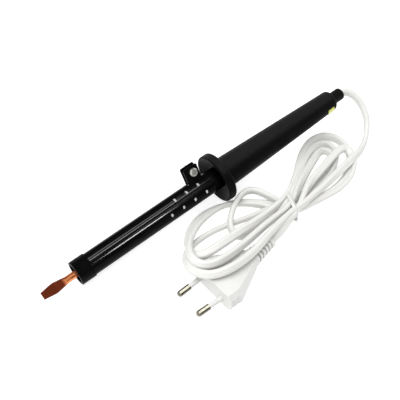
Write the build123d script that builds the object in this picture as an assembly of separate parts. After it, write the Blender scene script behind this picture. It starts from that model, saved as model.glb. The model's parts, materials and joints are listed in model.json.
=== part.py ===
from build123d import *
import os
from math import asin, atan, cos, degrees, hypot, pi, radians, sin, tan

# Mains soldering iron lying on a bench beside its tied cord.  Millimetres.
# Every iron piece is drawn level, with the iron's axis on X: x = 0 is the front face of the
# hand guard, -X points to the tip.  The whole iron is then pitched until the guard rim and
# the front collar both touch the bench, z = 0.

os.makedirs("parts", exist_ok=True)

# Driving dimensions: stations along the axis, and radii.
TIP_END = -131.6
COLLAR_FRONT = -108.0
COLLAR_REAR = -98.0
COLLAR_R = 8.05
BARREL_FRONT = -105.5
BARREL_REAR = 12.0
BARREL_R = 7.5
BARREL_WALL = 0.6
ROD_R = 2.3
ROD_END = -63.0
BLADE_TURN = 31.6
SLIDE_CLEARANCE = 0.06
SLEEVE_R = 3.0
GUARD_R = 17.0
GUARD_THICK = 6.0
NECK_R = 10.2
HANDLE_END = 106.4
TAIL_R = 7.25
HANDLE_WALL = 2.4
GLAND_END = 115.5
GLAND_R = 4.3
VENT_LENGTH = 1.7
VENT_WIDTH = 2.8
VENT_PITCH = 9.3
EAR_SPAN = (-18.25, -7.75)
EAR_WALL = 0.8
EAR_TURN = -28.4
EAR_TOP = 18.8
EAR_GAP = 3.0
SEAM_GAP = 0.3
SEAM_FRONT = -56.0
SCREW_X = -12.2
SCREW_HEIGHT = 14.6
SCREW_R = 1.5
HOLE_CLEARANCE = 0.08
LEAD_OUT = 3.65
LEAD_R = 0.4
BLOCK_FRONT = 24.0
CAVITY_FRONT = 14.0
CAVITY_END = 103.5
WINDOW_TURN = 95.0
WINDOW_FRONT = 96.6
WINDOW_LENGTH = 5.4
WINDOW_WIDTH = 4.4
CORD_WIDTH = 5.8
CORD_THICK = 3.7
CORD_ROUND = 4.86
PIN_R = 2.0
PIN_SLEEVE_R = 1.7
PIN_METAL = 9.0
PIN_TOTAL = 19.0
PIN_SPREAD = 9.3
PIN_LEAN = 1.66
PIN_NOSE = 1.8

GUARD_EDGE = 0.9
COLLAR_EDGE = 0.35

# The pitch that brings the guard's and the collar's rounded front edges down together, tip low.
EDGE_APART = (GUARD_EDGE - COLLAR_FRONT - COLLAR_EDGE, GUARD_R - GUARD_EDGE - COLLAR_R + COLLAR_EDGE)
PITCH = degrees(atan(EDGE_APART[1] / EDGE_APART[0]) + asin((GUARD_EDGE - COLLAR_EDGE) / hypot(*EDGE_APART)))


def turned(profile):
    """A solid of revolution about X from corners (x, radius) or (x, radius, corner rounding)."""
    points = [(c[0], 0, c[1]) for c in profile]
    rounding = [c[2] if len(c) > 2 else 0 for c in profile]
    outline = FilletPolyline(*points, radius=rounding, close=True)
    return revolve(make_face(outline), Axis.X, 360)


def tube(start, stop, outer, inner=0.0):
    return turned([(start, inner), (stop, inner), (stop, outer), (start, outer)])


def rod(start, stop, radius):
    """A round rod between two points."""
    a, b = Vector(*start), Vector(*stop)
    plane = Plane(origin=a, z_dir=b - a)
    return extrude(plane * Circle(radius), (b - a).length)


def block(x, y, z):
    """A box from its (low, high) on each axis."""
    size = [high - low for low, high in (x, y, z)]
    middle = [(low + high) / 2 for low, high in (x, y, z)]
    return Pos(*middle) * Box(*size)


def flat_cord(start, stop):
    """The flat two-core sheath along X, its wide side upright."""
    section = Plane(origin=(start, 0, 0), z_dir=(1, 0, 0)) * SlotOverall(CORD_WIDTH, CORD_THICK, rotation=0)
    return extrude(section, stop - start)


# --- heated end -----------------------------------------------------------------------------

def make_tip():
    """A copper rod swelling into a bulb that is forged flat, so that its faces start at a point."""
    root, waist, shoulder, crown = -114.6, -118.6, -122.6, -124.5
    bulb = turned([
        (TIP_END, 0), (ROD_END, 0), (ROD_END, ROD_R), (root, ROD_R, 6.0), (waist, 2.95, 6.0),
        (shoulder, 3.5, 3.0), (crown, 3.4, 2.0), (TIP_END, 2.35),
    ])
    half_height = [(ROD_END, ROD_R + 1), (root, ROD_R + 1), (root, ROD_R), (shoulder, 1.15), (TIP_END, 0.45)]
    side = [(x, 0, z) for x, z in half_height] + [(x, 0, -z) for x, z in reversed(half_height)]
    wedge = extrude(make_face(Polyline(*side, close=True)), 6, both=True)
    return Rot(X=BLADE_TURN) * (bulb & wedge)


def make_collar():
    lip_r, lip_end = 6.4, -106.5
    return turned([
        (COLLAR_FRONT, lip_r), (lip_end, lip_r), (lip_end, BARREL_R), (COLLAR_REAR, BARREL_R),
        (COLLAR_REAR, COLLAR_R), (COLLAR_FRONT, COLLAR_R, COLLAR_EDGE),
    ])


def vent_places():
    """(station, turn about the axis) of the vents: six rows, alternate rows set forward."""
    rows = 6
    for row in range(rows):
        forward = row % 2 == 0
        first = -38.5 if forward else -31.8
        for n in range(4 if forward else 3):
            yield first + n * VENT_PITCH, 66.0 + row * 360 / rows


def make_barrel():
    """A rolled steel tube with vents; its seam edges are turned out as two clamping ears."""
    low, high = EAR_SPAN
    inner, outer = EAR_GAP / 2, EAR_GAP / 2 + EAR_WALL
    shell = tube(BARREL_FRONT, BARREL_REAR, BARREL_R, BARREL_R - BARREL_WALL)
    for station, turn in vent_places():
        opening = Plane(origin=(station, 0, 5), z_dir=(0, 0, 1)) * SlotOverall(VENT_WIDTH, VENT_LENGTH, rotation=90)
        shell -= Rot(X=turn) * extrude(opening, 5)
    ears = block((low, high), (-outer, outer), (BARREL_R - 0.9, EAR_TOP))
    ears = fillet(ears.edges().filter_by(Axis.Y).sort_by(Axis.Z)[-2:], 1.2)
    ears -= tube(low - 1, high + 1, BARREL_R - BARREL_WALL)
    ears -= rod((SCREW_X, -9, SCREW_HEIGHT), (SCREW_X, 9, SCREW_HEIGHT), SCREW_R + HOLE_CLEARANCE)
    gap = block((low, high), (-inner, inner), (0, EAR_TOP + 1))
    seam = block((SEAM_FRONT, BARREL_REAR + 1), (-SEAM_GAP / 2, SEAM_GAP / 2), (0, BARREL_R + 1))
    return shell - Rot(X=EAR_TURN) * (gap + seam) + Rot(X=EAR_TURN) * (ears - gap)


def make_winding():
    """Resistance wire wound in one close layer, drawn as a ridged sleeve."""
    turns, start, stop = 22, -97.0, -49.0
    inner, root, crest = 3.4, 3.75, 4.1
    pitch = (stop - start) / turns
    profile = [(start, inner)]
    for n in range(turns):
        x = start + n * pitch
        profile += [(x, root), (x + 0.3 * pitch, crest), (x + 0.7 * pitch, crest)]
    return turned(profile + [(stop, root), (stop, inner)])


def make_rear_ceramic():
    """The rear spacer ring, drilled for the two lead wires."""
    front, rear = -44.0, -40.5
    ring = tube(front, rear, BARREL_R - BARREL_WALL, SLEEVE_R)
    for side in (-1, 1):
        ring -= rod((front - 1, side * LEAD_OUT, 0), (rear + 1, side * LEAD_OUT, 0), LEAD_R)
    return ring


def make_lead_wires():
    start, stop = -45.8, BLOCK_FRONT + 10.0
    return Compound([rod((start, s * LEAD_OUT, 0), (stop, s * LEAD_OUT, 0), LEAD_R) for s in (-1, 1)])


def make_beads():
    """Fish-spine beads threaded on the lead wires."""
    first, length, pitch, radius, bore = -39.0, 4.4, 4.6, 1.45, 0.5
    count = int((BLOCK_FRONT - 1 - first) / pitch)
    places = [(first + n * pitch, side * LEAD_OUT, 0) for side in (-1, 1) for n in range(count)]
    return Compound([Pos(*place) * tube(0, length, radius, bore) for place in places])


# --- clamp screw ------------------------------------------------------------------------------

EAR_FACE = EAR_GAP / 2 + EAR_WALL
WASHER_THICK = 0.6
NUT_THICK = 2.4


def make_clamp_screw():
    """A pan-head screw with a cross recess, head towards -Y."""
    head_r, head_thick, recess, play = 2.9, 2.2, 1.2, 0.05
    seat = Plane(origin=(SCREW_X, -EAR_FACE - play, SCREW_HEIGHT), z_dir=(0, -1, 0))
    head = extrude(seat * Circle(head_r), head_thick)
    head = fillet(head.edges().sort_by(Axis.Y)[0], 1.0)
    for size in ((3.4, 0.8), (0.8, 3.4)):
        head -= extrude(seat.offset(head_thick - recess) * Rectangle(*size), recess + 1)
    length = 2 * EAR_FACE + play + WASHER_THICK + NUT_THICK + 2.4
    shank = extrude(seat * Circle(SCREW_R), -length)
    shank = chamfer(shank.edges().sort_by(Axis.Y)[-1], 0.4)
    return Rot(X=EAR_TURN) * (head + shank)


def on_far_ear(outline, offset, thick):
    """A plate on the far ear's outer face, bored for the screw."""
    plane = Plane(origin=(SCREW_X, EAR_FACE + offset, SCREW_HEIGHT), z_dir=(0, 1, 0))
    return Rot(X=EAR_TURN) * extrude(plane * (outline - Circle(SCREW_R + HOLE_CLEARANCE)), thick)


# --- handle -----------------------------------------------------------------------------------

def handle_radius(x):
    """The grip is a straight cone from the guard to the rear shoulder."""
    return NECK_R + (TAIL_R - NECK_R) * (x - GUARD_THICK) / (HANDLE_END - GUARD_THICK)


def make_handle():
    """One moulding: dished guard, tapering grip, barrel socket, cavity and lens window."""
    dish_rim, dish_floor, dish_depth, lip_r, gland_bore = 15.6, 9.0, 3.4, 6.9, 3.4
    shell = turned([
        (dish_depth, BARREL_R), (dish_depth, dish_floor, 1.0), (0, dish_rim, 0.6),
        (0, GUARD_R, GUARD_EDGE), (GUARD_THICK, GUARD_R, 1.4), (GUARD_THICK + 0.6, NECK_R + 0.3, 1.2),
        (HANDLE_END, TAIL_R, 3.0), (HANDLE_END, gland_bore), (CAVITY_END, gland_bore),
        (CAVITY_END, handle_radius(CAVITY_END) - HANDLE_WALL),
        (CAVITY_FRONT, handle_radius(CAVITY_FRONT) - HANDLE_WALL),
        (CAVITY_FRONT, lip_r), (BARREL_REAR, lip_r), (BARREL_REAR, BARREL_R),
    ])
    return shell - window_block(3.0, 9.0)


def window_block(low, high):
    """A block filling the window, at its turn about the axis, radially from low to high."""
    stations = (WINDOW_FRONT, WINDOW_FRONT + WINDOW_LENGTH)
    return Rot(X=WINDOW_TURN) * block(stations, (-WINDOW_WIDTH / 2, WINDOW_WIDTH / 2), (low, high))


def make_lens():
    """A clear lens whose crown stands just proud of the grip."""
    inner, proud = 5.15, 0.4
    stations = (WINDOW_FRONT, WINDOW_FRONT + WINDOW_LENGTH)
    crown = turned([(x, r) for x, r in (
        (stations[0], 0), (stations[1], 0),
        (stations[1], handle_radius(stations[1]) + proud), (stations[0], handle_radius(stations[0]) + proud),
    )])
    return window_block(inner, 9.0) & crown


LAMP_OUT = 3.4
LAMP_LEAD_R = 0.3
LAMP_SPAN = (92.0, 101.0)
RESISTOR_SPAN = (80.0, 86.5)


def beside_cord(shape):
    """From the axis out to the window's side of the cord."""
    return Pos(0, -LAMP_OUT, 0) * shape


def capsule(span, radius, rounding):
    start, stop = span
    return turned([(start, 0), (stop, 0), (stop, radius, rounding), (start, radius, rounding)])


def make_lamp_leads():
    runs = ((72.0, RESISTOR_SPAN[0]), (RESISTOR_SPAN[1], LAMP_SPAN[0]))
    return beside_cord(Compound([rod((a, 0, 0), (b, 0, 0), LAMP_LEAD_R) for a, b in runs]))


BLOCK_STOP = BLOCK_FRONT + 20.0
BLOCK_HALF = (5.4, 3.1)
BORE_OUT = 2.9
SCREW_STATIONS = (BLOCK_FRONT + 5.0, BLOCK_FRONT + 15.0)
SHEATH_FRONT = 74.0
GRIP_SPAN = (87.6, 91.2)


def terminal_places():
    return [(x, side * BORE_OUT) for side in (-1, 1) for x in SCREW_STATIONS]


def make_terminal_block():
    half_width, half_height = BLOCK_HALF
    bore_r, screw_hole_r = 1.2, 1.3
    body = block((BLOCK_FRONT, BLOCK_STOP), (-half_width, half_width), (-half_height, half_height))
    for side in (-1, 1):
        body -= rod((BLOCK_FRONT - 1, side * BORE_OUT, 0), (BLOCK_STOP + 1, side * BORE_OUT, 0), bore_r)
    for x, y in terminal_places():
        body -= rod((x, y, 0), (x, y, half_height + 1), screw_hole_r)
    return body


def make_terminal_screws():
    """Slotted grub screws standing just proud of the block."""
    radius, foot, top, slot = 1.25, 1.25, 3.5, (0.25, 0.5)
    screws = []
    for x, y in terminal_places():
        groove = block((x - 2, x + 2), (y - slot[0], y + slot[0]), (top - slot[1], top + 1))
        screws.append(rod((x, y, foot), (x, y, top), radius) - groove)
    return Compound(screws)


def make_supply_cores():
    """The cord's two insulated cores, from the end of the sheath into the block's bores."""
    stacked, radius, stop = 1.25, 0.95, BLOCK_FRONT + 12.0
    cores = []
    for side in (-1, 1):
        path = FilletPolyline(
            (SHEATH_FRONT, 0, side * stacked), (64.0, 0, side * stacked),
            (50.0, side * BORE_OUT, 0), (stop, side * BORE_OUT, 0), radius=[8, 8],
        )
        section = Plane(origin=(SHEATH_FRONT, 0, side * stacked), z_dir=(-1, 0, 0)) * Circle(radius)
        cores.append(sweep(section, path))
    return Compound(cores)


def make_cord_grip():
    """A crimped ring that keeps the cord from pulling out, notched for the lamp's lead."""
    start, stop = GRIP_SPAN
    ring = tube(start, stop, 4.3) - flat_cord(start - 1, stop + 1)
    return ring - beside_cord(rod((start - 1, 0, 0), (stop + 1, 0, 0), LAMP_LEAD_R + 0.1))


def make_gland():
    """The rubber gland: a flange inside the rear wall and a short sleeve outside it."""
    flange_front, flange_r, neck_r = 101.6, 4.6, 3.4
    gland = turned([
        (flange_front, 0), (flange_front, flange_r), (CAVITY_END, flange_r), (CAVITY_END, neck_r),
        (HANDLE_END, neck_r), (HANDLE_END, GLAND_R), (GLAND_END, GLAND_R, 1.3), (GLAND_END, 0),
    ])
    return gland - flat_cord(flange_front - 1, GLAND_END + 1)


# --- the iron, then its pose on the bench -------------------------------------------------------

inner_wall = BARREL_R - BARREL_WALL
nut_outline = RegularPolygon(2.75, 6, major_radius=False)
level_iron = {
    "tip": make_tip(),
    "front_collar": make_collar(),
    "front_washer": tube(-106.5, BARREL_FRONT, BARREL_R - 0.1, 2.9),
    "barrel_tube": make_barrel(),
    "heater_sleeve": tube(-105.3, -40.0, SLEEVE_R, ROD_R + SLIDE_CLEARANCE),
    "inner_mica": tube(-99.0, -46.0, 3.4, SLEEVE_R),
    "heater_winding": make_winding(),
    "outer_mica": tube(-99.0, -46.0, 4.6, 4.1),
    "front_ceramic": tube(-104.5, -100.5, inner_wall, SLEEVE_R),
    "rear_ceramic": make_rear_ceramic(),
    "glass_liner": tube(-40.3, -1.0, inner_wall, 6.4),
    "lead_wires": make_lead_wires(),
    "lead_beads": make_beads(),
    "clamp_screw": make_clamp_screw(),
    "clamp_washer": on_far_ear(Circle(3.5), 0, WASHER_THICK),
    "clamp_nut": on_far_ear(nut_outline, WASHER_THICK, NUT_THICK),
    "handle": make_handle(),
    "terminal_block": make_terminal_block(),
    "terminal_screws": make_terminal_screws(),
    "supply_cores": make_supply_cores(),
    "cord_sheath_end": flat_cord(SHEATH_FRONT, GLAND_END),
    "cord_grip": make_cord_grip(),
    "neon_lamp": beside_cord(capsule(LAMP_SPAN, 1.4, 0.6)),
    "ballast_resistor": beside_cord(capsule(RESISTOR_SPAN, 1.2, 0.4)),
    "lamp_leads": make_lamp_leads(),
    "indicator_lens": make_lens(),
    "cord_gland": make_gland(),
}

# The guard's rounded front edge touches the bench at z = 0 once the iron is pitched nose-down.
pitch = radians(PITCH)
AXIS_UP = GUARD_EDGE + (GUARD_R - GUARD_EDGE) * cos(pitch) - GUARD_EDGE * sin(pitch)


def lying(shape):
    """Pitch the level iron nose-down and lift it onto the bench, x = 0 still at the guard face."""
    return Pos(0, 0, AXIS_UP) * Rot(Y=-PITCH) * shape


iron = {name: lying(shape) for name, shape in level_iron.items()}

# The origin is under the middle of the iron's box, so the guard face stands at GUARD_X.
boxes = [shape.bounding_box() for shape in iron.values()]
low_x, high_x = min(b.min.X for b in boxes), max(b.max.X for b in boxes)
low_y, high_y = min(b.min.Y for b in boxes), max(b.max.Y for b in boxes)
GUARD_X = -(low_x + high_x) / 2
GUARD_Y = -(low_y + high_y) / 2
FLOOR_GAP = min(b.min.Z for b in boxes)

# --- plug: drawn with its face at x = 0 and its pins along -X ------------------------------------

BODY_FRONT = (-48.8, -58.2, 6.85)
BODY_YAW = 1.5
BODY_LENGTH = 31.0
FLANGE_LENGTH = 9.0
RELIEF_LENGTH = 20.0
RELIEF_YAW = 6.5
SLEEVE_DEPTH = 1.5
CORE_DEPTH = 8.0
PIN_CORE_R = 1.2


def plug_place(shape):
    return Pos(*BODY_FRONT) * Rot(Z=BODY_YAW) * shape


def relief_place(shape):
    return Pos(BODY_LENGTH, 0, 0) * Rot(Z=RELIEF_YAW) * shape


def plug_section(x, half_width, half_height, corner):
    """An eight-cornered outline across X."""
    w, h, c = half_width, half_height, corner
    upper = [(w, h - c), (w - c, h), (c - w, h), (-w, h - c)]
    lower = [(y, -z) for y, z in reversed(upper)]
    return make_face(Polyline(*[(x, y, z) for y, z in upper + lower], close=True))


def pin_piece(side, start, stop, radius):
    """A length of one pin; the pins lean towards each other."""
    lean = radians(PIN_LEAN)
    ends = [(-s * cos(lean), side * (PIN_SPREAD - s * sin(lean)), 0) for s in (start, stop)]
    return rod(*ends, radius)


def make_pins():
    """Round-ended metal pins on cores that run back into the body."""
    pins = []
    for side in (-1, 1):
        nose = pin_piece(side, PIN_TOTAL - PIN_METAL, PIN_TOTAL, PIN_R)
        nose = fillet(nose.edges().sort_by(Axis.X)[0], PIN_NOSE)
        pins.append(nose + pin_piece(side, -CORE_DEPTH, PIN_TOTAL - PIN_METAL, PIN_CORE_R))
    return Compound(pins)


def make_pin_sleeves():
    sleeves = []
    for side in (-1, 1):
        sleeve = pin_piece(side, -SLEEVE_DEPTH, PIN_TOTAL - PIN_METAL, PIN_SLEEVE_R)
        sleeves.append(sleeve - pin_piece(side, -CORE_DEPTH, PIN_TOTAL, PIN_CORE_R))
    return Compound(sleeves)


def make_plug_body():
    """A flange with finger flutes, then a long taper to the neck."""
    half_width, half_height, corner = 17.65, 6.85, 3.4
    front = plug_section(0, half_width, half_height, corner)
    step = plug_section(FLANGE_LENGTH, half_width, half_height, corner)
    neck = plug_section(BODY_LENGTH, 6.4, 4.8, 1.6)
    body = loft([front, step], ruled=True) + loft([step, neck], ruled=True)
    for side in (-1, 1):
        for x in (2.4, 6.0):
            body -= rod((x, side * (half_width + 1), -8), (x, side * (half_width + 1), 8), 1.9)
        body -= pin_piece(side, -CORE_DEPTH, 1.0, PIN_CORE_R)
        body -= pin_piece(side, -SLEEVE_DEPTH, 1.0, PIN_SLEEVE_R)
    return body


def make_relief(body):
    """A ribbed strain relief moulded on the rear of the plug body."""
    root, rear = plug_section(-1, 5.6, 4.4, 1.4), plug_section(RELIEF_LENGTH, 3.6, 3.2, 1.0)
    relief = loft([root, rear], ruled=True)
    for n in range(5):
        groove = (3.4 + n * 3.1, 4.7 + n * 3.1)
        relief -= block(groove, (-8, 8), (-8, 8)) - block(groove, (-2.8, 2.8), (-2.6, 2.6))
    return relief_place(relief) - body


# --- cord: x is from the guard face --------------------------------------------------------------

TAIL_ROUTE = [
    (119.7, -0.2, 26.8), (123.7, -3.0, 26.2), (125.4, -8.0, 23.4), (125.2, -14.2, 18.4),
    (122.8, -21.0, 12.6), (117.6, -27.4, 7.8), (110.6, -32.2, 5.2), (102.4, -35.6, 3.9),
]
LEAD_ROUTE = [(9.5, -53.7, 6.8), (17.0, -51.6, 6.6)]
WAIST = (31.0, -41.5)
WAIST_YAW = -11.0
WAIST_HALF = 9.5
WAIST_SPAN = (0.9, 11.0)
HANK_TOP = 10.6
OVER_PLUG = (14.2, 19.6)
TIE_WIDTH = 3.5
TIE_WALL = 0.8


def corner_radii(points):
    """0.45 of the shorter run at each corner, over the tangent of half the turn."""
    radii = []
    for a, b, c in zip(points, points[1:], points[2:]):
        before, after = Vector(*b) - Vector(*a), Vector(*c) - Vector(*b)
        turn = radians(before.get_angle(after))
        radii.append(0.45 * min(before.length, after.length) / tan(turn / 2))
    return radii


def cord_tube(name, points):
    """A round tube of the flat cord's section area along straight runs and tangent arcs."""
    radii = corner_radii(points)
    path = FilletPolyline(*points, radius=radii)
    heading = Vector(*points[1]) - Vector(*points[0])
    solid = sweep(Plane(origin=points[0], z_dir=heading) * Circle(CORD_ROUND / 2), path)
    expected = path.length * pi * (CORD_ROUND / 2) ** 2
    print(name, "radii", [round(r, 1) for r in radii], "length", round(path.length, 1))
    print(name, "volume", round(solid.volume, 1), "expected", round(expected, 1))
    return solid


def oval(middle, half_length, half_width, yaw, low, high):
    return Pos(*middle, low) * Rot(Z=yaw) * extrude(Ellipse(half_length, half_width), high - low)


def at_waist(shape):
    return Pos(*WAIST, 0) * Rot(Z=WAIST_YAW) * shape


def make_hank():
    """The tied figure-eight hank as one closed solid: two lobes, a waist and an arch over the plug."""
    left_middle, right_middle = (-12.0, -36.5), (69.0, -31.5)
    left = oval(left_middle, 46.0, 24.0, 8.0, 0, HANK_TOP)
    right = oval(right_middle, 39.0, 22.0, 12.0, 0, HANK_TOP)
    arch = oval(left_middle, 46.0, 24.0, 8.0, HANK_TOP - 2, OVER_PLUG[1])
    arch -= oval(left_middle, 38.0, 16.5, 8.0, 0, OVER_PLUG[1] + 1)
    arch &= block((-60, 12), (-70, -36), (0, OVER_PLUG[1] + 1))
    gap = at_waist(block((-5, 6), (-40, 40), (-1, HANK_TOP + 1)))
    half = WAIST_HALF
    waist = at_waist(block((-12, 13), (-half, half), WAIST_SPAN))
    joint = block((17.0, 25.5), (-55.0, -46.0), (3.0, HANK_TOP))
    body_bay = block((-75, -15), (-80, -39.8), (-1, OVER_PLUG[0]))
    relief_bay = block((-16, 17.0), (-80, -49.4), (-1, OVER_PLUG[0]))
    past_guard = lying(tube(-0.6, GUARD_THICK + 1.2, GUARD_R + 0.5))
    return left + right + arch - gap + waist + joint - body_bay - relief_bay - past_guard


def make_tie():
    """A closed band round the waist."""
    low, high = WAIST_SPAN
    across, along = WAIST_HALF, (-1.5, -1.5 + TIE_WIDTH)
    outer = block(along, (-across - TIE_WALL, across + TIE_WALL), (low - TIE_WALL, high + TIE_WALL))
    outer = fillet(outer.edges().filter_by(Axis.X), TIE_WALL)
    return at_waist(outer - block((-5, 5), (-across, across), (low, high)))


def relief_end():
    """Where the lead leaves the strain relief."""
    yaw, turned_yaw = radians(BODY_YAW), radians(BODY_YAW + RELIEF_YAW)
    x = BODY_FRONT[0] + BODY_LENGTH * cos(yaw) + RELIEF_LENGTH * cos(turned_yaw)
    y = BODY_FRONT[1] + BODY_LENGTH * sin(yaw) + RELIEF_LENGTH * sin(turned_yaw)
    return (x, y, BODY_FRONT[2])


gland_mouth = (GLAND_END * cos(pitch), 0.0, AXIS_UP + GLAND_END * sin(pitch))
hank = make_hank()
body = make_plug_body()
relief = plug_place(make_relief(body))
tail = cord_tube("cord_tail", [gland_mouth] + TAIL_ROUTE)
lead = cord_tube("cord_plug_lead", [relief_end()] + LEAD_ROUTE)
cord = {
    "cord_tail": tail - hank - iron["cord_gland"] - iron["cord_sheath_end"],
    "cord_hank": hank,
    "cord_tie": make_tie(),
    "cord_plug_lead": lead - hank - relief,
    "plug_body": plug_place(body),
    "plug_strain_relief": relief,
    "plug_pins": plug_place(make_pins()),
    "pin_sleeves": plug_place(make_pin_sleeves()),
}

for name, shape in (iron | cord).items():
    export_step(Pos(GUARD_X, GUARD_Y, -FLOOR_GAP) * shape, f"parts/{name}.step")
print("guard at", round(GUARD_X, 3), round(GUARD_Y, 3), "floor", round(FLOOR_GAP, 4))
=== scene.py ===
import json
from math import cos, pi, radians, sin, sqrt

import bpy
import numpy as np
from mathutils import Matrix, Vector


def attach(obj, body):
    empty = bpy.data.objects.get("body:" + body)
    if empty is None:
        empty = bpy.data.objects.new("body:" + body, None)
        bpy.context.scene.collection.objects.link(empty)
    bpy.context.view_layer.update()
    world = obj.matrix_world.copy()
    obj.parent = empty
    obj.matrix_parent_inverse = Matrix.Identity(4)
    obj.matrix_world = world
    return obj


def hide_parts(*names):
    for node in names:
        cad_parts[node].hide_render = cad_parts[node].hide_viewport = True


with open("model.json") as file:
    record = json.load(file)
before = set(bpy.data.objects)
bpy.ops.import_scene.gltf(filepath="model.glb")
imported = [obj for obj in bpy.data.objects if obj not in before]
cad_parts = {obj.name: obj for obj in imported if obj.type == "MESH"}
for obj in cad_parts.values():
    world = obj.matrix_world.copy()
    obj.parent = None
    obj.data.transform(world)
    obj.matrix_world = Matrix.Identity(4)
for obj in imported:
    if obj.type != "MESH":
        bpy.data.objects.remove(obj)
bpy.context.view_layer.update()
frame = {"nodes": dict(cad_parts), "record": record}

# A soldering iron with a tied flat mains cord, in the frame's metres. Sizes here are millimetres,
# except where a comment says metres. The iron's pieces and the plug are the frame's own nodes;
# the cord and its twist tie are made here.
nodes = frame["nodes"]
MM = 0.001
HOUSING = "housing"
SKYWARD = Vector((0, 0, 1))

# The iron's axis, from the tip to the handle, and the point on it in the guard's front face. The
# collar's seat lies this far along the axis from the guard.
COLLAR_MIDDLE = -102.8
mounts = {m["name"]: m for m in frame["record"]["mounts"]}
AXIS = -Vector(mounts["collar_seat"]["axis"])
GUARD = Vector(mounts["collar_seat"]["pos_m"]) - AXIS * COLLAR_MIDDLE * MM
# Bench places are measured from the spot on the bench under the guard's front face.
GUARD_X = 7.963


def bench(x, y, z):
    """A bench place in millimetres, in the frame's metres."""
    return Vector(((x + GUARD_X) * MM, y * MM, z * MM))


# --- camera ---------------------------------------------------------------------------------------

# A bench place, the way it looks from there, and the focal length in picture widths.
CAMERA_PLACE = (-201.06, -237.48, 382.83)
CAMERA_AZIMUTH, CAMERA_ELEVATION = radians(-38.6195), radians(51.2164)
SENSOR, FOCAL_WIDTHS = 36, 1.84


def make_camera():
    data = bpy.data.cameras.new("camera")
    data.sensor_width = SENSOR
    data.lens = FOCAL_WIDTHS * SENSOR
    data.clip_start = 10 * MM
    camera = bpy.data.objects.new("camera", data)
    bpy.context.scene.collection.objects.link(camera)
    a, e = CAMERA_AZIMUTH, CAMERA_ELEVATION
    look = Vector((-sin(a) * cos(e), cos(a) * cos(e), -sin(e)))
    right = Vector((cos(a), sin(a), 0))
    above = right.cross(look)
    turn = Matrix((right, above, -look)).transposed()
    camera.matrix_world = Matrix.Translation(bench(*CAMERA_PLACE)) @ turn.to_4x4()
    bpy.context.scene.camera = camera


make_camera()

# --- cord: route ----------------------------------------------------------------------------------

CORD_WIDTH, CORD_THICK = 5.8, 3.7
# Bench places and the strip's lean in degrees, where 0 stands it on edge and 90 lays it flat: the
# free stretch from the gland to the tie, and the lead from the tie to the plug.
TAIL = [
    (115.07, 0.0, 26.4, 0), (118.6, -1.0, 26.3, 0), (121.7, -4.0, 25.2, 0), (123.9, -8.8, 22.3, 0),
    (124.6, -14.8, 17.8, 0), (122.9, -21.2, 12.6, 0), (117.6, -27.4, 7.8, 0), (110.6, -32.2, 5.2, 10),
    (102.4, -35.6, 4.4, 20), (93.5, -38.0, 6.8, 40), (85.2, -40.2, 8.8, 50), (71.6, -42.3, 8.8, 30),
    (58.4, -44.4, 8.4, 10), (45.2, -45.7, 8.2, 0), (36.8, -46.9, 8.2, 0),
]
LEAD = [(20.0, -50.5, 8.0, 0), (11.0, -53.2, 7.2, 60), (2.0, -54.6, 6.85, 90)]
# The tied waist, where the strips stand side by side in two layers: each turn's offset across it on
# the way to its left lobe, in the top layer, and to its right lobe, in the bottom one, then where
# the cord leaves it for the lead.
WAIST, WAIST_SLANT = (31.0, -41.5), 0.2
WAIST_TOP, TOP_HEIGHT = (-4.8, -1.3, 2.2, 5.6), 8.3
WAIST_BOTTOM, BOTTOM_HEIGHT = (6.3, 2.9, -0.5, -3.9), 2.95
WAIST_LAST, LAST_HEIGHT = -7.2, 7.0
# Each turn is a lobe to the left of the waist and one to the right. A lobe has its reach, its swing
# to the side on the way out (low) and back (high), the shift of its end, its yaw in degrees, how
# far its way back is drawn in, and its heights and the strip's leans at five even stations.
LOBE_STEPS, END_RADIUS, END_SHARPNESS = 11, 6.0, 8
RIGHT_RISE = dict(z=(3, 3, 3, 4, 8), lean=(0, 45, 10, 72, 35))
LEFT = [
    dict(reach=84.7, low=19.6, high=18.0, end=-5.4, yaw=-2.2, skew=0.5,
         z=(9, 19, 14.2, 3, 3), lean=(0, 35, 50, 35, 0)),
    dict(reach=78.0, low=18.2, high=27.5, end=-18.9, yaw=-17.6, skew=8.8,
         z=(9, 17.5, 17, 3, 3), lean=(0, 32, 45, 32, 0)),
    dict(reach=43.6, low=1.9, high=24.9, end=2.6, yaw=-9.6, skew=9.0,
         z=(5, 3, 4, 10, 8), lean=(0, 14, 20, 14, 0)),
    dict(reach=75.2, low=8.7, high=26.0, end=-16.4, yaw=-19.4, skew=0.4,
         z=(9, 16.4, 12.8, 3, 3), lean=(0, 60, 85, 60, 0)),
]
RIGHT = [
    dict(reach=58.9, low=4.6, high=6.1, end=3.0, yaw=17.1, skew=-3.1, **RIGHT_RISE),
    dict(reach=65.1, low=8.7, high=12.1, end=9.3, yaw=14.1, skew=1.2, **RIGHT_RISE),
    dict(reach=70.0, low=13.3, high=23.9, end=21.1, yaw=0.9, skew=2.0, **RIGHT_RISE),
    dict(reach=65.1, low=13.1, high=5.6, end=11.8, yaw=-1.3, skew=-1.7,
         z=(3, 3, 6, 9, 11), lean=(0, 42, 60, 85, 40)),
]


def at_waist(offset, height):
    """A route point in the waist, offset across it, with the strip on edge."""
    return (WAIST[0] + WAIST_SLANT * offset, WAIST[1] + offset, height, 0)


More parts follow.
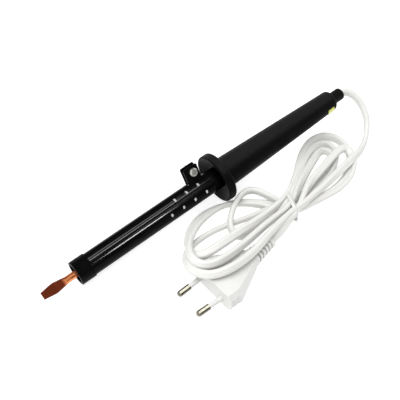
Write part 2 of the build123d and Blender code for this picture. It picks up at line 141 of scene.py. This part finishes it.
def lobe(side, reach, low, high, end, yaw, skew, z, lean):
    """Route points of a lobe, from the waist round its end and back. A slim lobe is widened near
    its end, to fold at about END_RADIUS."""
    points = []
    c, s = cos(radians(yaw)), sin(radians(yaw))
    bulge = max(0, sqrt(END_RADIUS * reach) / abs(low + high) - 1)
    for step in range(1, LOBE_STEPS):
        p = pi * step / LOBE_STEPS
        swing = (low + (high - low) * sin(p / 2) ** 2) * (1 + bulge * sin(p) ** END_SHARPNESS)
        lag = skew * sin(2 * p) ** 2 if p > pi / 2 else 0
        x = side * (reach * sin(p) - lag)
        y = end * sin(p) ** 2 - swing * sin(2 * p)
        height, tilt = (
            float(np.interp(step / LOBE_STEPS, np.linspace(0, 1, len(v)), v)) for v in (z, lean)
        )
        points.append((WAIST[0] + x * c - y * s, WAIST[1] + x * s + y * c, height, tilt))
    return points


def cord_route():
    """The whole route: the tail, the hank's turns and the lead."""
    route = list(TAIL)
    for top, bottom, left, right in zip(WAIST_TOP, WAIST_BOTTOM, LEFT, RIGHT):
        route.append(at_waist(top, TOP_HEIGHT))
        route += lobe(-1, **left)
        route.append(at_waist(bottom, BOTTOM_HEIGHT))
        route += lobe(1, **right)
    return [*route, at_waist(WAIST_LAST, LAST_HEIGHT), *LEAD]


# --- mesh tools -----------------------------------------------------------------------------------

SPLINE_STEPS = 8


def spline_points(points):
    """Points read along the smooth NURBS line with these control points, in metres."""
    curve = bpy.data.curves.new("route", "CURVE")
    curve.dimensions = "3D"
    spline = curve.splines.new("NURBS")
    spline.points.add(len(points) - 1)
    for point, place in zip(spline.points, points):
        point.co = (*place, 1)
    spline.order_u = 3
    spline.use_endpoint_u = True
    spline.resolution_u = SPLINE_STEPS
    thing = bpy.data.objects.new("route", curve)
    bpy.context.scene.collection.objects.link(thing)
    mesh = bpy.data.meshes.new_from_object(thing)
    places = [v.co.copy() for v in mesh.vertices]
    bpy.data.meshes.remove(mesh)
    bpy.data.objects.remove(thing)
    bpy.data.curves.remove(curve)
    return places


def link_mesh(name, verts, faces):
    """A new smooth-shaded mesh object in the scene."""
    mesh = bpy.data.meshes.new(name)
    mesh.from_pydata([tuple(v) for v in verts], [], faces)
    mesh.validate()
    mesh.update()
    mesh.shade_smooth()
    thing = bpy.data.objects.new(name, mesh)
    bpy.context.scene.collection.objects.link(thing)
    return thing


def rings_mesh(name, rings, looped=False):
    """A closed skin over equal rings of points, capped unless the rings run in a loop."""
    count = len(rings[0])
    verts = [v for ring in rings for v in ring]
    faces = []
    for r in range(len(rings) if looped else len(rings) - 1):
        here, there = r * count, (r + 1) % len(rings) * count
        for k in range(count):
            beside = (k + 1) % count
            faces.append((here + k, here + beside, there + beside, there + k))
    if not looped:
        faces.append(tuple(reversed(range(count))))
        faces.append(tuple(range((len(rings) - 1) * count, len(rings) * count)))
    return link_mesh(name, verts, faces)


# --- cord -----------------------------------------------------------------------------------------

# The flat faces dip between the two cores. As shares: the dip's half width, of half the cores'
# spacing, and the thickness left there, of the whole.
CORD_ROUND_STEPS, DIP_HALF, DIP_LEFT = 6, 0.35, 0.93


def cord_section():
    """A flat cord's outline: two round cores side by side under one skin."""
    outline = []
    radius = CORD_THICK / 2
    reach = CORD_WIDTH / 2 - radius
    for end in (1, -1):
        for step in range(CORD_ROUND_STEPS + 1):
            angle = -pi / 2 + pi * step / CORD_ROUND_STEPS
            outline.append((end * (reach + radius * cos(angle)), end * radius * sin(angle)))
        outline.append((end * reach * DIP_HALF, end * radius * DIP_LEFT))
        outline.append((-end * reach * DIP_HALF, end * radius * DIP_LEFT))
    return outline


def sweep_strip(name, places, leans, outline):
    """The outline swept along places, turned by each place's lean."""
    rings = []
    last = len(places) - 1
    for n, place in enumerate(places):
        along = (places[min(n + 1, last)] - places[max(n - 1, 0)]).normalized()
        across = along.cross(SKYWARD).normalized()
        above = across.cross(along).normalized()
        lean = radians(leans[n])
        wide = above * cos(lean) + across * sin(lean)
        thin = across * cos(lean) - above * sin(lean)
        rings.append([place + (wide * u + thin * v) * MM for u, v in outline])
    return rings_mesh(name, rings)


route = cord_route()
cord_path = spline_points([bench(*p[:3]) for p in route])
lean_stations = np.linspace(0, len(route) - 1, len(cord_path))
cord_leans = np.interp(lean_stations, range(len(route)), [p[3] for p in route])
cord = sweep_strip("cord", cord_path, cord_leans, cord_section())
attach(cord, HOUSING)
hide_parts("cord_tail", "cord_hank", "cord_plug_lead")

# --- twist tie: a thin strip with a wire down its middle ------------------------------------------

# The band's middle and the direction it goes across the waist, its half size across and up, and the
# power that squares its corners.
TIE_MIDDLE = Vector((31.0, -41.8, 6.0))
TIE_ACROSS = Vector((0.36, 0.933, 0))
TIE_HALF = (8.7, 5.65)
TIE_STEPS, TIE_SQUARENESS = 56, 0.62
# The strip's outline: across its width, and outwards, with the wire's ridge in the middle.
TIE_OUTLINE = [
    (1.4, -0.15), (1.4, 0.15), (0.5, 0.2), (0.28, 0.5),
    (-0.28, 0.5), (-0.5, 0.2), (-1.4, 0.15), (-1.4, -0.15),
]
# Its two ends are twisted round each other, and a little wire stands out past them.
TWIST_START, TWIST_WAY = Vector((27.7, -49.7, 4.6)), Vector((-0.15, -0.62, -0.77)).normalized()
TWIST_FIRST = TWIST_WAY.orthogonal().normalized()
TWIST_SECOND = TWIST_WAY.cross(TWIST_FIRST)
TWIST_LENGTH, TWIST_TURNS, TWIST_APART, TWIST_STEPS, TWIST_SQUEEZE = 2.2, 0.6, 0.5, 10, 0.8
WIRE_SPAN, WIRE_RADIUS, WIRE_SIDES = (-0.4, 0.9), 0.35, 8


def strip_ring(place, wide, out):
    """The tie's outline at a bench place."""
    return [bench(*(place + wide * u + out * v)) for u, v in TIE_OUTLINE]


def round_twist(angle):
    """The direction out of the twist's middle at an angle round it."""
    return TWIST_FIRST * cos(angle) + TWIST_SECOND * sin(angle)


def make_tie_band():
    """The band round the waist, a rounded rectangle."""
    wide = TIE_ACROSS.cross(SKYWARD)
    rings = []
    for step in range(TIE_STEPS):
        p = 2 * pi * step / TIE_STEPS
        c, s = cos(p), sin(p)
        across, up = (abs(v) ** TIE_SQUARENESS * (1 if v >= 0 else -1) for v in (c, s))
        place = TIE_MIDDLE + TIE_ACROSS * across * TIE_HALF[0] + SKYWARD * up * TIE_HALF[1]
        out = (TIE_ACROSS * c + SKYWARD * s).normalized()
        rings.append(strip_ring(place, wide, out))
    return rings_mesh("tie_band", rings, looped=True)


def make_tie_end(name, start_angle):
    """One of the two ends, twisted round the other."""
    rings = []
    for step in range(TWIST_STEPS + 1):
        share = step / TWIST_STEPS
        out = round_twist(start_angle + 2 * pi * TWIST_TURNS * share)
        place = TWIST_START + TWIST_WAY * TWIST_LENGTH * share + out * TWIST_APART
        rings.append(strip_ring(place, TWIST_WAY.cross(out), out * TWIST_SQUEEZE))
    return rings_mesh(name, rings)


def make_tie_wire():
    """The bare wire that stands out of the twisted ends."""
    rings = []
    for along in WIRE_SPAN:
        middle = TWIST_START + TWIST_WAY * (TWIST_LENGTH + along)
        angles = [2 * pi * k / WIRE_SIDES for k in range(WIRE_SIDES)]
        rings.append([bench(*(middle + round_twist(angle) * WIRE_RADIUS)) for angle in angles])
    return rings_mesh("tie_wire", rings)


ties = [
    make_tie_band(), make_tie_end("tie_end_a", 0), make_tie_end("tie_end_b", pi), make_tie_wire(),
]
tie_band, tie_wire = ties[0], ties[-1]
for piece in ties:
    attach(piece, HOUSING)
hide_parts("cord_tie")

# --- materials ------------------------------------------------------------------------------------

# Noise scales are features to the metre, and its values mostly stay in the range given.
NOISE_ROUGHNESS, NOISE_RANGE = 0.55, (0.3, 0.7)
# A stain's shade of its finish's colour, and the least and most roughness over the finish's own.
METAL_STAIN, METAL_ROUGHNESS = 0.72, (0.75, 1.35)
PLAIN_STAIN, PLAIN_ROUGHNESS = 0.93, (0.85, 1.15)
SHARP_ANGLE = radians(32)
# Where the rod's heat colour starts and where it is full, along the axis from the guard.
BLADE_DARK = (-114.5, -117.5)


class Finish:
    """A node material on one Principled shader, in object coordinates, which are metres."""

    def __init__(self, name, color, roughness, metallic=0.0, **sockets):
        self.material = bpy.data.materials.new(name)
        self.material.use_nodes = True
        self.tree = self.material.node_tree
        self.shader = self.tree.nodes["Principled BSDF"]
        self.color = color
        self.set("Base Color", (*color, 1))
        self.set("Roughness", roughness)
        self.set("Metallic", metallic)
        for key, value in sockets.items():
            self.set(key.replace("_", " "), value)
        self.coords = self.node("ShaderNodeTexCoord")
        self.relief = None

    def node(self, kind, **settings):
        """A new node, with values for its sockets and its own options."""
        node = self.tree.nodes.new(kind)
        for key, value in settings.items():
            if key in node.inputs:
                node.inputs[key].default_value = value
            else:
                setattr(node, key, value)
        return node

    def set(self, socket, value):
        self.shader.inputs[socket].default_value = value

    def link(self, source, target):
        self.tree.links.new(source, target)

    def noise(self, scale, detail, stretch=(1, 1, 1)):
        """Noise between 0 and 1."""
        mapping = self.node("ShaderNodeMapping")
        mapping.inputs["Scale"].default_value = stretch
        self.link(self.coords.outputs["Object"], mapping.inputs["Vector"])
        texture = self.node("ShaderNodeTexNoise", Scale=scale, Detail=detail, Roughness=NOISE_ROUGHNESS)
        self.link(mapping.outputs["Vector"], texture.inputs["Vector"])
        return texture.outputs["Fac"]

    def tipward(self):
        """How far a place is along the iron's axis towards the tip, in metres."""
        node = self.node("ShaderNodeVectorMath", operation="DOT_PRODUCT")
        self.link(self.coords.outputs["Object"], node.inputs[0])
        node.inputs[1].default_value = -AXIS
        return node.outputs["Value"]

    def ramp(self, source, low, high, start, stop):
        """From start to stop as the source goes from low to high."""
        node = self.node("ShaderNodeMapRange")
        node.inputs["From Min"].default_value = low
        node.inputs["From Max"].default_value = high
        node.inputs["To Min"].default_value = start
        node.inputs["To Max"].default_value = stop
        self.link(source, node.inputs["Value"])
        return node.outputs["Result"]

    def tint(self, source, other, low=0.35, high=0.7):
        """Mix towards another colour where the source is high."""
        mix = self.node("ShaderNodeMix", data_type="RGBA")
        current = self.shader.inputs["Base Color"]
        if current.links:
            self.link(current.links[0].from_socket, mix.inputs["A"])
        else:
            mix.inputs["A"].default_value = (*self.color, 1)
        mix.inputs["B"].default_value = (*other, 1)
        self.link(self.ramp(source, low, high, 0, 1), mix.inputs["Factor"])
        self.link(mix.outputs["Result"], current)

    def vary_roughness(self, source, low, high):
        """Roughness from low to high with the source."""
        self.link(self.ramp(source, *NOISE_RANGE, low, high), self.shader.inputs["Roughness"])

    def bump(self, source, depth_mm, strength):
        """Relief in the shading, over any relief given before."""
        node = self.node("ShaderNodeBump")
        node.inputs["Strength"].default_value = strength
        node.inputs["Distance"].default_value = depth_mm * MM
        self.link(source, node.inputs["Height"])
        if self.relief is not None:
            self.link(self.relief, node.inputs["Normal"])
        self.relief = node.outputs["Normal"]
        self.link(self.relief, self.shader.inputs["Normal"])


def finish_handle():
    f = Finish("handle_black", (0.0015, 0.0015, 0.0017), 0.42, Specular_IOR_Level=0.045)
    f.tint(f.noise(90, 5), (0.0022, 0.0022, 0.0024))
    f.vary_roughness(f.noise(400, 4), 0.38, 0.48)
    f.bump(f.noise(2600, 2), 0.03, 0.5)
    f.bump(f.noise(120, 2), 0.05, 0.3)
    return f.material


def finish_barrel():
    f = Finish("black_steel", (0.0008, 0.0008, 0.0009), 0.10, Specular_IOR_Level=0.05)
    f.tint(f.noise(60, 4), (0.0016, 0.0016, 0.0016))
    f.vary_roughness(f.noise(700, 3), 0.08, 0.14)
    f.bump(f.noise(90, 2, (0.4, 1, 1)), 0.02, 0.25)
    return f.material


def finish_collar():
    f = Finish("collar_black", (0.001, 0.001, 0.001), 0.35, Specular_IOR_Level=0.05)
    f.tint(f.noise(300, 4), (0.003, 0.003, 0.003))
    f.vary_roughness(f.noise(500, 3), 0.3, 0.5)
    f.bump(f.noise(1500, 2), 0.02, 0.4)
    return f.material


def finish_copper():
    """Bright rod, and a blade darkened by heat."""
    f = Finish("copper", (0.86, 0.30, 0.12), 0.24, 1.0)
    f.tint(f.noise(220, 5, (0.5, 1, 1)), (0.78, 0.25, 0.095), 0.45, 0.75)
    start, full = (-(GUARD.dot(AXIS) + x * MM) for x in BLADE_DARK)
    f.tint(f.tipward(), (0.125, 0.024, 0.009), start, full)
    f.vary_roughness(f.noise(380, 4), 0.2, 0.34)
    f.bump(f.noise(500, 4, (0.3, 1, 1)), 0.04, 0.4)
    return f.material


def finish_metal(name, color, rough):
    """A plain metal with fine grain and slightly darker stains."""
    f = Finish(name, color, rough, 1.0)
    f.tint(f.noise(450, 4), tuple(c * METAL_STAIN for c in color), 0.45, 0.75)
    f.vary_roughness(f.noise(750, 3), *(rough * share for share in METAL_ROUGHNESS))
    f.bump(f.noise(1500, 3), 0.02, 0.5)
    return f.material


def finish_plain(name, color, rough, stain=None, grain=1200, depth=0.02, **sockets):
    """Plastic, glass, mica or fibre, with large faint stains and a fine grain."""
    f = Finish(name, color, rough, **sockets)
    f.tint(f.noise(grain * 0.1, 4), stain or tuple(c * PLAIN_STAIN for c in color), 0.45, 0.8)
    f.vary_roughness(f.noise(grain * 0.4, 3), *(rough * share for share in PLAIN_ROUGHNESS))
    f.bump(f.noise(grain, 2), depth, 0.4)
    return f.material


finishes = {
    "copper": finish_copper(),
    "black_steel": finish_barrel(),
    "collar_black": finish_collar(),
    "handle_black": finish_handle(),
    "plated_steel": finish_metal("plated_steel", (0.55, 0.545, 0.52), 0.28),
    "pin_nickel": finish_metal("pin_nickel", (0.22, 0.21, 0.17), 0.16),
    "brass_screw": finish_metal("brass_screw", (0.80, 0.62, 0.30), 0.3),
    "resistance_wire": finish_metal("resistance_wire", (0.42, 0.40, 0.39), 0.42),
    "ceramic": finish_plain("ceramic", (0.86, 0.84, 0.78), 0.6, (0.74, 0.70, 0.62)),
    "mica": finish_plain("mica", (0.62, 0.50, 0.32), 0.35, (0.48, 0.36, 0.2)),
    "glass_fibre": finish_plain(
        "glass_fibre", (0.92, 0.92, 0.90), 0.7, (0.8, 0.8, 0.77), grain=2500, depth=0.08),
    "block_plastic": finish_plain("block_plastic", (0.82, 0.81, 0.76), 0.45),
    "core_insulation": finish_plain("core_insulation", (0.22, 0.12, 0.06), 0.4),
    "cord_white": finish_plain("cord_white", (0.60, 0.60, 0.583), 0.36, (0.58, 0.576, 0.55), grain=900),
    "plug_white": finish_plain("plug_white", (0.58, 0.58, 0.567), 0.4, (0.56, 0.56, 0.54), grain=1400),
    "resistor_body": finish_plain("resistor_body", (0.66, 0.56, 0.36), 0.35),
    "rubber_black": finish_plain(
        "rubber_black", (0.003, 0.003, 0.003), 0.5, (0.005, 0.005, 0.005), Specular_IOR_Level=0.1),
    "lamp_glass": finish_plain("lamp_glass", (0.9, 0.8, 0.7), 0.1, Transmission_Weight=0.8),
    "lens_clear": finish_plain(
        "lens_clear", (0.76, 0.78, 0.20), 0.18, (0.72, 0.74, 0.16), Transmission_Weight=0.1),
}

node_slot = {s["node"]: s["material_slot"] for s in frame["record"]["subparts"]}


def dress(thing, slot):
    """Give a piece its slot's finish."""
    thing.data.materials.clear()
    thing.data.materials.append(finishes[slot])


for name, thing in nodes.items():
    dress(thing, node_slot[name])
    thing.data.shade_smooth()
    thing.data.set_sharp_from_angle(angle=SHARP_ANGLE)
for piece in (cord, *ties):
    dress(piece, "cord_white")
dress(tie_wire, "resistance_wire")

# --- stage ----------------------------------------------------------------------------------------

# The floor's half size and how far it is below the bench, so that nothing shares its plane.
FLOOR_HALF, FLOOR_DROP = 6000, 0.2
FLOOR_GREY, FLOOR_GLOW = 0.80, 0.68
# The sky is a pale dome with a dark band where the iron's reflections point, and a soft glow in the
# band for the rod and the barrel's front. ALONG values are cosines to the iron's axis. The others
# are degrees about it, from the camera's side towards its top. Where there are four values, the
# first two are the rise's ends and the last two the fall's. About the axis, the band goes from
# BAND_LOW to BAND_HIGH over its rise, and back over its fall.
SKY, BAND_LOW, BAND_HIGH = 1.25, 0.02, 0.20
BAND_ALONG, BAND_RISE, BAND_FALL = (-0.02, 0.07, 0.52, 0.64), (-30, -8), (60, 110)
GLOW_ALONG, GLOW_ANGLE, GLOW = (0.03, 0.08, 0.15, 0.21), (0, 14, 30, 44), 1.6
# Strip lights beside the iron, each lighting one piece only: angle and width about the axis in
# degrees, start and end along it from the guard in metres, brightness. STREAK_AWAY is how far off
# the axis they are, and the other lights' places and sizes are metres too. PIN_LIGHT_TURN is how
# far round the pin its light is from where the pin's camera side mirrors the camera.
STREAKS = {
    "barrel_tube": [
        (-13, 6, 0.03, 0.13, 260), (30, 6, -0.06, 0.20, 80), (50, 6, -0.06, 0.16, 40),
        (3, 3, 0.06, 0.2, 30),
    ],
    "handle": [(20, 40, 0.08, 0.58, 5.5), (60, 40, 0.08, 0.58, 4), (100, 40, 0.08, 0.58, 1.5)],
}
STREAK_AWAY = 0.6
PIN_LIGHT_AWAY, PIN_LIGHT_SIZE, PIN_LIGHT, PIN_LIGHT_TURN = 0.3, (0.3, 0.5), 4.5, radians(25)
TOP_LIGHT_OFFSET, TOP_LIGHT_SIZE, TOP_LIGHT = (-0.2, 0.2, 1.0), (1.0, 1.0), 3.2


def make_floor():
    """A plain pale floor that glows softly, so that it stays white and takes faint shadows."""
    half = FLOOR_HALF * MM
    corners = [(-half, -half, 0), (half, -half, 0), (half, half, 0), (-half, half, 0)]
    floor = link_mesh("floor", corners, [(0, 1, 2, 3)])
    f = Finish("floor", (FLOOR_GREY,) * 3, 0.85, Specular_IOR_Level=0.1, Emission_Strength=FLOOR_GLOW)
    f.set("Emission Color", (1, 1, 1, 1))
    floor.data.materials.append(f.material)
    floor.location.z = -FLOOR_DROP * MM


def around_axis():
    """The directions across the iron's axis towards the camera and towards the iron's top."""
    place = bench(*CAMERA_PLACE) - GUARD
    facing = (place - AXIS * place.dot(AXIS)).normalized()
    upward = AXIS.cross(facing)
    return facing, upward if upward.z > 0 else -upward


def strip_light(name, place, along, out, size, brightness, *pieces):
    """An area light at a place, facing against out, that lights only the pieces. Its first size is
    the one along."""
    data = bpy.data.lights.new(name, "AREA")
    data.shape = "RECTANGLE"
    data.size, data.size_y = size
    data.energy = brightness * pi * size[0] * size[1]
    lamp = bpy.data.objects.new(name, data)
    bpy.context.scene.collection.objects.link(lamp)
    turn = Matrix((along, out.cross(along), out)).transposed()
    lamp.matrix_world = Matrix.Translation(place) @ turn.to_4x4()
    lit = bpy.data.collections.new(name)
    for piece in pieces:
        lit.objects.link(piece)
    lamp.light_linking.receiver_collection = lit


def make_streaks():
    """The strip lights that draw the highlights along the barrel and the handle."""
    facing, upward = around_axis()
    for node, strips in STREAKS.items():
        for n, (angle, width, start, end, brightness) in enumerate(strips):
            out = facing * cos(radians(angle)) + upward * sin(radians(angle))
            place = GUARD + AXIS * (start + end) / 2 + out * STREAK_AWAY
            size = (end - start, STREAK_AWAY * radians(width))
            strip_light(f"{node}_streak_{n}", place, AXIS, out, size, brightness, nodes[node])


def make_pin_light():
    """A soft light that the pins mirror to the camera along their tops."""
    pin = mounts["plug_pin_near"]
    place, way = Vector(pin["pos_m"]), Vector(pin["axis"])
    seen = (bench(*CAMERA_PLACE) - place).normalized()
    normal = (seen - way * seen.dot(way)).normalized()
    out = Matrix.Rotation(PIN_LIGHT_TURN, 3, way) @ (2 * normal * normal.dot(seen) - seen)
    along = (way - out * way.dot(out)).normalized()
    place += out * PIN_LIGHT_AWAY
    strip_light("pin_light", place, along, out, PIN_LIGHT_SIZE, PIN_LIGHT, nodes["plug_pins"])


def make_top_light():
    """Soft light from above for the white pieces."""
    whites = [nodes[name] for name in ("plug_body", "plug_strain_relief", "pin_sleeves")]
    place, along = bench(*WAIST, 0) + Vector(TOP_LIGHT_OFFSET), Vector((1, 0, 0))
    strip_light("top_light", place, along, SKYWARD, TOP_LIGHT_SIZE, TOP_LIGHT, cord, *ties, *whites)


def make_world():
    """The sky, worked out in nodes from the direction looked in."""
    world = bpy.data.worlds.new("world")
    world.use_nodes = True
    tree = world.node_tree
    facing, upward = around_axis()
    coords = tree.nodes.new("ShaderNodeTexCoord").outputs["Generated"]

    def dot(direction):
        node = tree.nodes.new("ShaderNodeVectorMath")
        node.operation = "DOT_PRODUCT"
        tree.links.new(coords, node.inputs[0])
        node.inputs[1].default_value = direction
        return node.outputs["Value"]

    def maths(operation, *inputs):
        node = tree.nodes.new("ShaderNodeMath")
        node.operation = operation
        for socket, value in zip(node.inputs, inputs):
            if isinstance(value, (int, float)):
                socket.default_value = value
            else:
                tree.links.new(value, socket)
        return node.outputs["Value"]

    def step(source, low, high, start, stop):
        node = tree.nodes.new("ShaderNodeMapRange")
        node.interpolation_type = "SMOOTHSTEP"
        for key, value in (("From Min", low), ("From Max", high), ("To Min", start), ("To Max", stop)):
            node.inputs[key].default_value = value
        tree.links.new(source, node.inputs["Value"])
        return node.outputs["Result"]

    def window(source, rise_start, rise_end, fall_start, fall_end):
        rise = step(source, rise_start, rise_end, 0, 1)
        return maths("MULTIPLY", rise, step(source, fall_start, fall_end, 1, 0))

    along = dot(AXIS)
    angle = maths("MULTIPLY", maths("ARCTAN2", dot(upward), dot(facing)), 180 / pi)
    band = window(along, *BAND_ALONG)
    rise = step(angle, *BAND_RISE, BAND_LOW, BAND_HIGH)
    grey = maths("MULTIPLY", rise, step(angle, *BAND_FALL, 1, BAND_LOW / BAND_HIGH))
    glow = maths("MULTIPLY", window(along, *GLOW_ALONG), GLOW)
    inside = maths("ADD", grey, maths("MULTIPLY", glow, window(angle, *GLOW_ANGLE)))
    outside = maths("MULTIPLY", maths("SUBTRACT", 1, band), SKY)
    total = maths("ADD", outside, maths("MULTIPLY", inside, band))
    background = tree.nodes["Background"]
    background.inputs["Color"].default_value = (1, 1, 1, 1)
    tree.links.new(total, background.inputs["Strength"])
    bpy.context.scene.world = world


make_floor()
make_world()
make_streaks()
make_pin_light()
make_top_light()
bpy.context.scene.view_settings.view_transform = "Standard"
